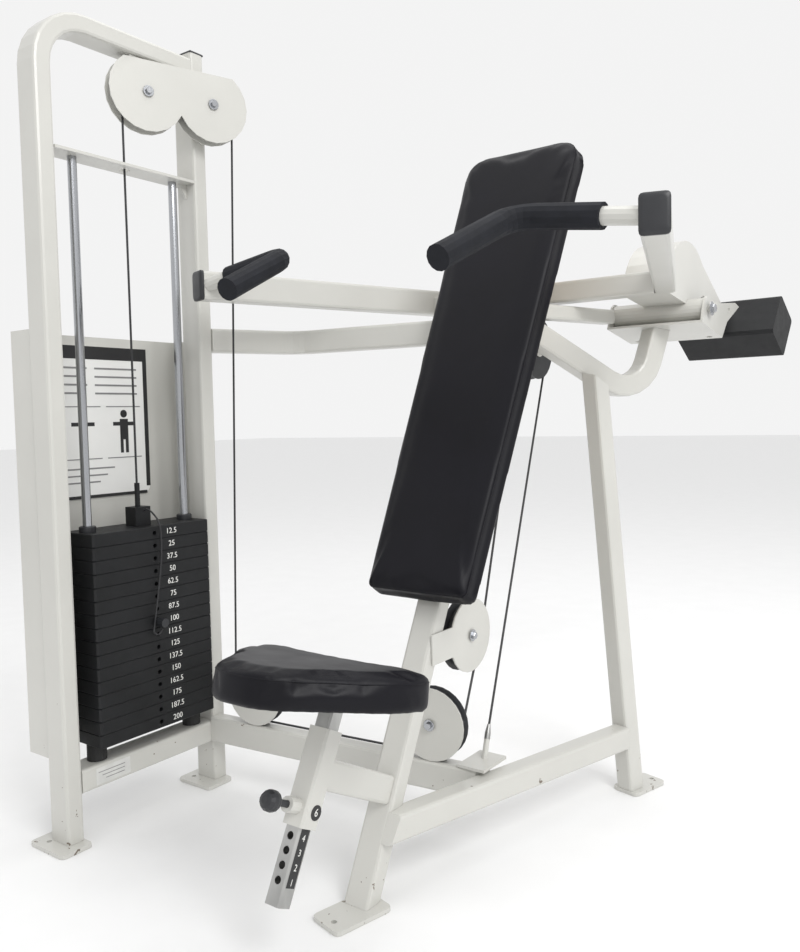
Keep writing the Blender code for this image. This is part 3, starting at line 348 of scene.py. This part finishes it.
def add_text(bm, words, size, centre, u, v, n, depth=0.0003):
    """Raised numerals in the plane of u and v."""
    curve = bpy.data.curves.new("numeral", "FONT")
    curve.body = words
    curve.size = size
    curve.extrude = depth / 2
    curve.align_x = "CENTER"
    curve.align_y = "CENTER"
    curve.resolution_u = 3
    holder = bpy.data.objects.new("numeral", curve)
    bpy.context.scene.collection.objects.link(holder)
    bpy.context.view_layer.update()
    mesh = bpy.data.meshes.new_from_object(holder.evaluated_get(bpy.context.evaluated_depsgraph_get()))
    place = Matrix((u, v, n)).transposed().to_4x4()
    mesh.transform(Matrix.Translation(centre + SHIFT + n * depth / 2) @ place)
    bm.from_mesh(mesh)
    bpy.data.objects.remove(holder, do_unlink=True)
    bpy.data.meshes.remove(mesh)


def round_corners(corners, steps=6):
    """Outline through (u, v, radius) corners."""
    points = []
    count = len(corners)
    for index, (u, v, radius) in enumerate(corners):
        corner = Vector((u, v))
        to_before = (Vector(corners[index - 1][:2]) - corner).normalized()
        to_after = (Vector(corners[(index + 1) % count][:2]) - corner).normalized()
        for k in range(steps + 1):
            t = k / steps
            start, end = corner + to_before * radius, corner + to_after * radius
            points.append((1 - t) ** 2 * start + 2 * t * (1 - t) * corner + t * t * end)
    return points


# ---------------------------------------------------------------- cushions

def inset_loop(outline, amount):
    """Outline moved inwards by the amount."""
    centre = sum(outline, Vector((0, 0))) / len(outline)
    moved = []
    for i, point in enumerate(outline):
        along = (outline[(i + 1) % len(outline)] - outline[i - 1]).normalized()
        inward = Vector((-along.y, along.x))
        if inward.dot(centre - point) < 0:
            inward = -inward
        moved.append(point + inward * amount)
    return moved


def inflate(piece, held_below, cap, frames=20):
    """Blow the cushion's cover up a little with cloth, holding its base."""
    start = [v.co.copy() for v in piece.data.vertices]
    hold = piece.vertex_groups.new(name="hold")
    hold.add([i for i, co in enumerate(start) if co.z < held_below], 1.0, "REPLACE")
    cloth = piece.modifiers.new("cover", "CLOTH")
    cloth.settings.quality = 6
    cloth.settings.mass = 0.3
    cloth.settings.tension_stiffness = 60
    cloth.settings.compression_stiffness = 60
    cloth.settings.bending_stiffness = 6
    cloth.settings.use_pressure = True
    cloth.settings.uniform_pressure_force = 4.0
    cloth.settings.vertex_group_mass = "hold"
    cloth.settings.effector_weights.gravity = 0.0
    cloth.point_cache.frame_start = 1
    cloth.point_cache.frame_end = frames
    scene = bpy.context.scene
    for number in range(1, frames + 1):
        scene.frame_set(number)
    ready = piece.evaluated_get(bpy.context.evaluated_depsgraph_get())
    ended = [v.co.copy() for v in ready.data.vertices]
    piece.modifiers.clear()
    scene.frame_set(1)
    for vert, before, after in zip(piece.data.vertices, start, ended):
        step = after - before
        if step.length > cap:
            step *= cap / step.length
        vert.co = before + step


def cushion(name, node, body, outline, thick, edge, place, voxel=0.006):
    """Foam cushion with a flat back, soft edges and a crowned front, built lying flat and then placed."""
    bm = bmesh.new()
    rings = [(0.003, 0.0), (SIDE_INSET, thick * 0.12), (SIDE_INSET, thick - edge)]
    for k in range(1, 6):
        angle = math.pi / 2 * k / 5
        rings.append((SIDE_INSET + edge * (1 - math.cos(angle)), thick - edge + edge * math.sin(angle) - 0.0025))
    loops = [[bm.verts.new((*p, z)) for p in inset_loop(outline, amount)] for amount, z in rings]
    count = len(outline)
    for low, high in zip(loops, loops[1:]):
        for i in range(count):
            j = (i + 1) % count
            bm.faces.new((low[i], low[j], high[j], high[i]))
    bm.faces.new(list(reversed(loops[0])))
    bm.faces.new(loops[-1])
    piece = finish_mesh(name, bm, MATERIALS["black_vinyl"], None, 60)
    remesh = piece.modifiers.new("even", "REMESH")
    remesh.mode = "VOXEL"
    remesh.voxel_size = voxel
    smooth = piece.modifiers.new("smooth", "SMOOTH")
    smooth.iterations = 2
    ready = piece.evaluated_get(bpy.context.evaluated_depsgraph_get())
    mesh = bpy.data.meshes.new_from_object(ready)
    piece.modifiers.clear()
    piece.data = mesh
    inflate(piece, 0.009, 0.005)
    for vert in piece.data.vertices:
        vert.co.z = max(vert.co.z, 0.0)
    piece.data.transform(place)
    piece.data.materials.clear()
    piece.data.materials.append(MATERIALS["black_vinyl"])
    piece.data.shade_smooth()
    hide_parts(node)
    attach(piece, body)
    return piece


def seam(name, cover, outline, height, radius, place, body):
    """Sewn welt that lies on the cushion's side, all the way round."""
    loop = []
    for at, after in zip(outline, outline[1:] + outline[:1]):
        steps = max(1, round((after - at).length / 0.03))
        loop += [at.lerp(after, k / steps) for k in range(steps)]
    loop.append(loop[0])
    curve = bpy.data.curves.new(name, "CURVE")
    curve.dimensions = "3D"
    curve.bevel_depth = radius
    curve.bevel_resolution = 2
    spline = curve.splines.new("POLY")
    spline.points.add(len(loop) - 2)
    for point, at in zip(spline.points, loop):
        _, spot, _, _ = cover.closest_point_on_mesh(place @ Vector((*at, height)))
        point.co = (*spot, 1.0)
    spline.use_cyclic_u = True
    curve.materials.append(MATERIALS["black_vinyl"])
    made = bpy.data.objects.new(name, curve)
    bpy.context.scene.collection.objects.link(made)
    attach(made, body)


def add_cushions():
    low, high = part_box("back_pad")
    up, out = Vector((0, math.sin(TILT), math.cos(TILT))), Vector((0, -math.cos(TILT), math.sin(TILT)))
    origin = Vector((SHIFT.x, high.y - PAD_LENGTH * up.y, low.z))
    place = Matrix.Translation(origin) @ Matrix((X, up, out)).transposed().to_4x4()
    bottom, top = 0.1175, 0.1453
    outline = round_corners([(-bottom, 0, 0.016), (bottom, 0, 0.016), (top, PAD_LENGTH, 0.062),
                             (-top, PAD_LENGTH, 0.062)], 8)
    cover = cushion("back_cushion", "back_pad", "frame", outline, PAD_THICK, 0.009, place)
    seam("back_cushion_seam", cover, outline, PAD_THICK - 0.010, 0.0011, place, "frame")

    low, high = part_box("seat_pad")
    level = Vector((0, -math.cos(SEAT_NOSE_UP), math.sin(SEAT_NOSE_UP)))
    normal = Vector((0, math.sin(SEAT_NOSE_UP), math.cos(SEAT_NOSE_UP)))
    origin = Vector((SHIFT.x, high.y - SEAT_THICK * normal.y, low.z))
    place = Matrix.Translation(origin) @ Matrix((-X, level, normal)).transposed().to_4x4()
    outline = round_corners([(-0.188, 0, 0.03), (-0.188, 0.075, 0.05), (-0.052, 0.262, 0.045),
                             (0.052, 0.262, 0.045), (0.188, 0.075, 0.05), (0.188, 0, 0.03)], 8)
    cover = cushion("seat_cushion", "seat_pad", "seat_carriage", outline, SEAT_THICK, 0.012, place, 0.005)
    seam("seat_cushion_seam", cover, outline, SEAT_THICK - 0.013, 0.0011, place, "seat_carriage")


# ---------------------------------------------------------------- cables

def base_pulley_centre(x):
    """Middle of a pulley over the low crossbeam, at the given x."""
    along = low_beam_direction()
    return Vector((x, (BASE_START + along * ((x - BASE_START.x) / along.x)).y, BASE_PULLEY_Z))


def low_beam_direction():
    return Vector((math.cos(BASE_SLOPE), math.sin(BASE_SLOPE), 0))


def straight(start, end, steps=24):
    return [start.lerp(end, k / steps) for k in range(steps + 1)]


def arc(centre, first, second, turn, start, end, steps=14):
    return [centre + (first * math.cos(math.radians(start + (end - start) * k / steps))
                      + second * math.sin(math.radians(start + (end - start) * k / steps))) * turn
            for k in range(steps + 1)]


def add_cables():
    black = MATERIALS["cable_black"]
    low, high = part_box("stack_cable")
    x, y = (low.x + high.x) / 2 - SHIFT.x, (low.y + high.y) / 2 - SHIFT.y
    piece = tube("stack_cable_run", straight(Vector((x, y, low.z)), Vector((x, y, high.z))), CABLE_RADIUS, black,
                 None)
    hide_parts("stack_cable")
    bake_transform(piece)

    c = LIFT_PULLEY
    span = Vector((0, c.y - REAR_PULLEY.y, c.z - REAR_PULLEY.z))
    lean = math.atan2(span.y, span.z) - math.asin(2 * BIG_TURN / span.length)
    across = Vector((0, math.cos(lean), -math.sin(lean))) * BIG_TURN
    front = (REAR_PULLEY + across, c - across)
    stud_axis = (CABLE_STUD_AIM - CABLE_STUD).normalized()
    anchor = CABLE_STUD + stud_axis * CABLE_STUD_LENGTH
    span = Vector((0, c.y - anchor.y, c.z - anchor.z))
    rear_lean = math.atan2(span.y, span.z) + math.asin(BIG_TURN / span.length)
    rear_across = Vector((0, math.cos(rear_lean), -math.sin(rear_lean))) * BIG_TURN
    rear = (anchor, c + rear_across)
    for name, ends in (("lift_cable_front", front), ("lift_cable_rear", rear)):
        piece = tube(name + "_run", straight(*ends), CABLE_RADIUS, black, None)
        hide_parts(name)
        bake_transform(piece)

    start = 180 - math.degrees(lean)
    end = -math.degrees(rear_lean)
    tube("lift_pulley_wrap", arc(c, Y, Z, BIG_TURN, start, end), CABLE_RADIUS, black, "movement_arm")
    rear_wrap = arc(REAR_PULLEY, Y, Z, BIG_TURN, -40, -math.degrees(lean), 8)
    leave = base_pulley_centre(POST_PULLEY_X) + low_beam_direction() * BIG_TURN
    tube("rear_cable_run", straight(leave, rear_wrap[0], 10)[:-1] + rear_wrap, CABLE_RADIUS, black,
         "frame")
    bm = bmesh.new()
    add_turned(bm, anchor - stud_axis * 0.012, stud_axis,
               [(0, 0.0062), (0.012, 0.0062), (0.026, 0.004), (0.03, 0.0032)])
    finish_mesh("cable_end_sleeve", bm, MATERIALS["bare_steel"], "frame")


def lanyard_route():
    face = STACK_FACE
    ring_z = STACK_TOP - PLATE_PITCH * (SELECTED_PLATE - 0.5)
    return [Vector(p) for p in (
        (TOWER_X + 0.0225, STACK_Y, STACK_TOP + 0.034), (TOWER_X + 0.032, STACK_Y + 0.002, STACK_TOP + 0.036),
        (face - 0.008, STACK_Y + 0.006, STACK_TOP + 0.026), (face + 0.007, STACK_Y + 0.010, STACK_TOP),
        (face + 0.008, STACK_Y + 0.010, STACK_TOP - 0.06), (face + 0.008, STACK_Y + 0.002, STACK_TOP - 0.12),
        (face + 0.009, STACK_Y - 0.016, ring_z - 0.004), (face + 0.010, STACK_Y - 0.019, ring_z - 0.018),
        (face + 0.010, STACK_Y - 0.007, ring_z - 0.026), (face + 0.012, STACK_Y + 0.003, ring_z - 0.015))]


def smooth_route(route, steps):
    ends = [route[0] * 2 - route[1]] + route + [route[-1] * 2 - route[-2]]
    points = []
    for a, b, c, d in zip(ends, ends[1:], ends[2:], ends[3:]):
        for k in range(steps):
            t = k / steps
            points.append(0.5 * (2 * b + (c - a) * t + (2 * a - 5 * b + 4 * c - d) * t * t
                                 + (3 * b - a - 3 * c + d) * t ** 3))
    return points + [route[-1]]


def add_lanyard():
    points = [p + SHIFT for p in smooth_route(lanyard_route(), 4)]
    curve = bpy.data.curves.new("pin_lanyard", "CURVE")
    curve.dimensions = "3D"
    curve.bevel_depth = 0.002
    curve.bevel_resolution = 3
    curve.use_fill_caps = True
    spline = curve.splines.new("POLY")
    spline.points.add(len(points) - 1)
    for spot, point in zip(spline.points, points):
        spot.co = (*point, 1.0)
    curve.materials.append(MATERIALS["cable_black"])
    made = bpy.data.objects.new("pin_lanyard", curve)
    bpy.context.scene.collection.objects.link(made)
    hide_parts("lanyard")
    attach(made, "weight_carriage")


# ---------------------------------------------------------------- numerals, labels and the sign

def add_numerals():
    for name, body, first, last in (("upper_plate_numerals", "weight_carriage", 1, SELECTED_PLATE),
                                    ("lower_plate_numerals", "frame", SELECTED_PLATE + 1, PLATE_COUNT)):
        bm = bmesh.new()
        for number in range(first, last + 1):
            height = STACK_TOP - PLATE_PITCH * (number - 0.5)
            words = f"{VALUE_PER_PLATE * number:g}"
            add_text(bm, words, 0.0175, Vector((STACK_FACE, STACK_Y + 0.046, height)), Y, Z, X)
        finish_mesh(name, bm, NUMERAL, body)

    axis = Vector((0, math.sin(SEAT_TILT), math.cos(SEAT_TILT)))
    across = axis.cross(X)
    pin = SLEEVE_LOW + axis * PIN_ABOVE_SLEEVE_LOW
    face = X * SEAT_TUBE_HALF
    bm = bmesh.new()
    add_block(bm, pin - axis * 0.068 + face, across, axis, X, (0.021, 0.105, 0.0002))
    finish_mesh("seat_scale", bm, INK, "seat_carriage")
    bm = bmesh.new()
    for step in range(1, 6):
        spot = pin - axis * (step * SEAT_PITCH) + face + X * 0.0002
        add_text(bm, str(6 - step), 0.015, spot, across, axis, X, 0.0001)
    finish_mesh("seat_scale_numerals", bm, NUMERAL, "seat_carriage")
    bm = bmesh.new()
    add_turned(bm, SEAT_MARK, X, [(0, 0.0125), (0.0006, 0.0125)], 28)
    finish_mesh("seat_position_mark", bm, INK, "frame")
    bm = bmesh.new()
    add_text(bm, "6", 0.018, SEAT_MARK + X * 0.0006, across, axis, X)
    finish_mesh("seat_position_numeral", bm, NUMERAL, "frame")


def add_sign():
    """Generic instruction sign: frame line, blank title bar, rules and two plain figures."""
    low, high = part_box("placard")
    face = high.x
    wide, tall = high.y - low.y, high.z - low.z

    def at(u, v):
        return Vector((face, low.y + u * wide, low.z + v * tall)) - SHIFT

    bm = bmesh.new()

    def bar(u0, v0, u1, v1, depth=0.0005):
        centre = at((u0 + u1) / 2, (v0 + v1) / 2)
        add_block(bm, centre, Y, Z, X, ((u1 - u0) * wide, (v1 - v0) * tall, depth))

    bar(0.0, 0.915, 1.0, 1.0)
    bar(0.0, 0.0, 0.02, 0.915)
    bar(0.955, 0.05, 1.0, 0.915)
    bar(0.0, 0.0, 0.96, 0.02)
    for u, v in ((0.28, 0.42), (0.72, 0.42)):
        head = at(u, v + 0.135)
        add_turned(bm, head, X, [(0, 0.009), (0.0005, 0.009)], 18)
        bar(u - 0.045, v - 0.04, u + 0.045, v + 0.10)
        bar(u - 0.12, v + 0.055, u - 0.045, v + 0.08)
        bar(u + 0.045, v + 0.055, u + 0.12, v + 0.08)
        bar(u - 0.045, v - 0.13, u - 0.012, v - 0.04)
        bar(u + 0.012, v - 0.13, u + 0.045, v - 0.04)
    finish_mesh("sign_marks", bm, INK, "frame")

    bm = bmesh.new()
    for row in range(4):
        bar(0.42, 0.85 - row * 0.055, 0.88, 0.862 - row * 0.055)
        bar(0.10, 0.85 - row * 0.055, 0.34 - 0.04 * (row % 2), 0.862 - row * 0.055)
    for u in (0.28, 0.72):
        bar(u - 0.19, 0.255, u + 0.19, 0.262)
        bar(u - 0.19, 0.60, u + 0.19, 0.607)
    for row in range(3):
        bar(0.08, 0.19 - row * 0.045, 0.60 - 0.08 * row, 0.20 - row * 0.045)
    finish_mesh("sign_rules", bm, GREY_INK, "frame")

    low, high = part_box("tower_crossbar")
    bm = bmesh.new()
    centre = Vector((high.x, low.y + 0.075, (low.z + high.z) / 2)) - SHIFT
    add_block(bm, centre, Y, Z, X, (0.085, 0.036, 0.0004))
    finish_mesh("crossbar_label", bm, LABEL, "frame")
    bm = bmesh.new()
    for row in range(3):
        add_block(bm, centre + X * 0.0004 + Z * (0.008 - 0.008 * row) + Y * (0.004 * (row - 1)), Y, Z, X,
                  (0.066 - 0.010 * row, 0.0016, 0.0002))
    finish_mesh("crossbar_label_rules", bm, GREY_INK, "frame")


# ---------------------------------------------------------------- caps and fasteners

def add_caps():
    """Black plugs in the fronts of the press arms and on the rear upright."""
    for side, word in ((1, "right"), (-1, "left")):
        along = Vector((-side * math.sin(ARM_SPLAY), math.cos(ARM_SPLAY), 0))
        across = along.cross(Z)
        front = Vector((side * ARM_END.x, ARM_END.y, ARM_END.z))
        bm = bmesh.new()
        rings = []
        for ahead, shrink in ((-0.0005, -0.001), (0.0045, -0.001), (0.0075, 0.002), (0.0085, 0.006)):
            a, b = ARM_WIDE / 2 - shrink, ARM_TALL / 2 - shrink
            outline = round_corners([(-a, -b, 0.008), (a, -b, 0.008), (a, b, 0.008), (-a, b, 0.008)], 3)
            rings.append([front - along * ahead + across * p.x + Z * p.y for p in outline])
        add_rings(bm, rings)
        finish_mesh("arm_cap_" + word, bm, MATERIALS["black_plastic"], "movement_arm")
    low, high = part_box("rear_upright")
    bm = bmesh.new()
    centre = Vector(((low.x + high.x) / 2, (low.y + high.y) / 2, high.z)) - SHIFT
    add_block(bm, centre, X, Y, Z, (0.064, 0.0385, 0.005), 0.002)
    finish_mesh("rear_upright_cap", bm, MATERIALS["black_plastic"], "frame")


def add_bolts():
    """Bolt heads on the pulley discs, the pivot and the fork, and the bushings on the top plate."""
    steel, slot = MATERIALS["chrome"], "chrome"
    forward = low_beam_direction().cross(Z)
    bm = bmesh.new()
    for x in (BASE_PULLEY_X, POST_PULLEY_X):
        add_bolt(bm, base_pulley_centre(x) + forward * 0.0205, forward)
    add_bolt(bm, REAR_PULLEY + X * 0.0192, X)
    run = Vector((math.sin(HOUSING_TURN), math.cos(HOUSING_TURN), 0))
    normal = run.cross(Z)
    for bolt in HOUSING_BOLTS:
        add_bolt(bm, HOUSING_START + run * bolt + Z * HOUSING_BOLT_Z + normal * 0.003, normal)
    add_bolt(bm, PIVOT + X * PIVOT_AXLE_END_X, X, 0.010, 0.008, 0.0165)
    finish_mesh("frame_bolts", bm, steel, "frame")
    bm = bmesh.new()
    add_bolt(bm, LIFT_PULLEY + X * 0.0182, X)
    add_bolt(bm, LIFT_PULLEY - X * 0.0182, -X)
    finish_mesh("fork_bolts", bm, steel, "movement_arm")

    bm = bmesh.new()
    for y in ROD_Y:
        add_turned(bm, Vector((TOWER_X, y, STACK_TOP + 0.0003)), Z,
                   [(0, 0.0175), (0.010, 0.0175), (0.012, 0.0160)], 24)
    finish_mesh("plate_bushings", bm, MATERIALS["black_plastic"], "weight_carriage")


def add_stage():
    """Pale floor, even white surroundings and three soft lamps."""
    bpy.ops.mesh.primitive_plane_add(size=60, location=(0, 0, -0.0005))
    floor = bpy.context.object
    floor.name = "floor"
    floor.data.materials.append(surface("floor_finish", (0.86, 0.86, 0.86), 0.75, mottle=0.01))
    world = bpy.data.worlds.new("studio")
    world.use_nodes = True
    world.node_tree.nodes["Background"].inputs["Color"].default_value = (1.0, 1.0, 1.0, 1)
    world.node_tree.nodes["Background"].inputs["Strength"].default_value = 0.90
    bpy.context.scene.world = world
    bpy.context.scene.view_settings.view_transform = "Standard"
    for name, place, aim, size, power in (
            ("key", (3.2, -1.6, 3.4), (0.0, 0.0, 0.7), 2.0, 95),
            ("fill", (-3.4, -2.6, 2.4), (0.0, 0.0, 0.8), 3.0, 4),
            ("top", (0.0, 0.5, 4.6), (0.0, 0.0, 0.0), 3.0, 40)):
        data = bpy.data.lights.new(name, "AREA")
        data.size = size
        data.energy = power
        lamp = bpy.data.objects.new(name, data)
        bpy.context.scene.collection.objects.link(lamp)
        lamp.location = place
        lamp.rotation_euler = (Vector(aim) - Vector(place)).to_track_quat("-Z", "Y").to_euler()


add_camera()
dress_frame()
add_lanyard()
add_cables()
add_cushions()
add_numerals()
add_sign()
add_caps()
add_bolts()
add_stage()
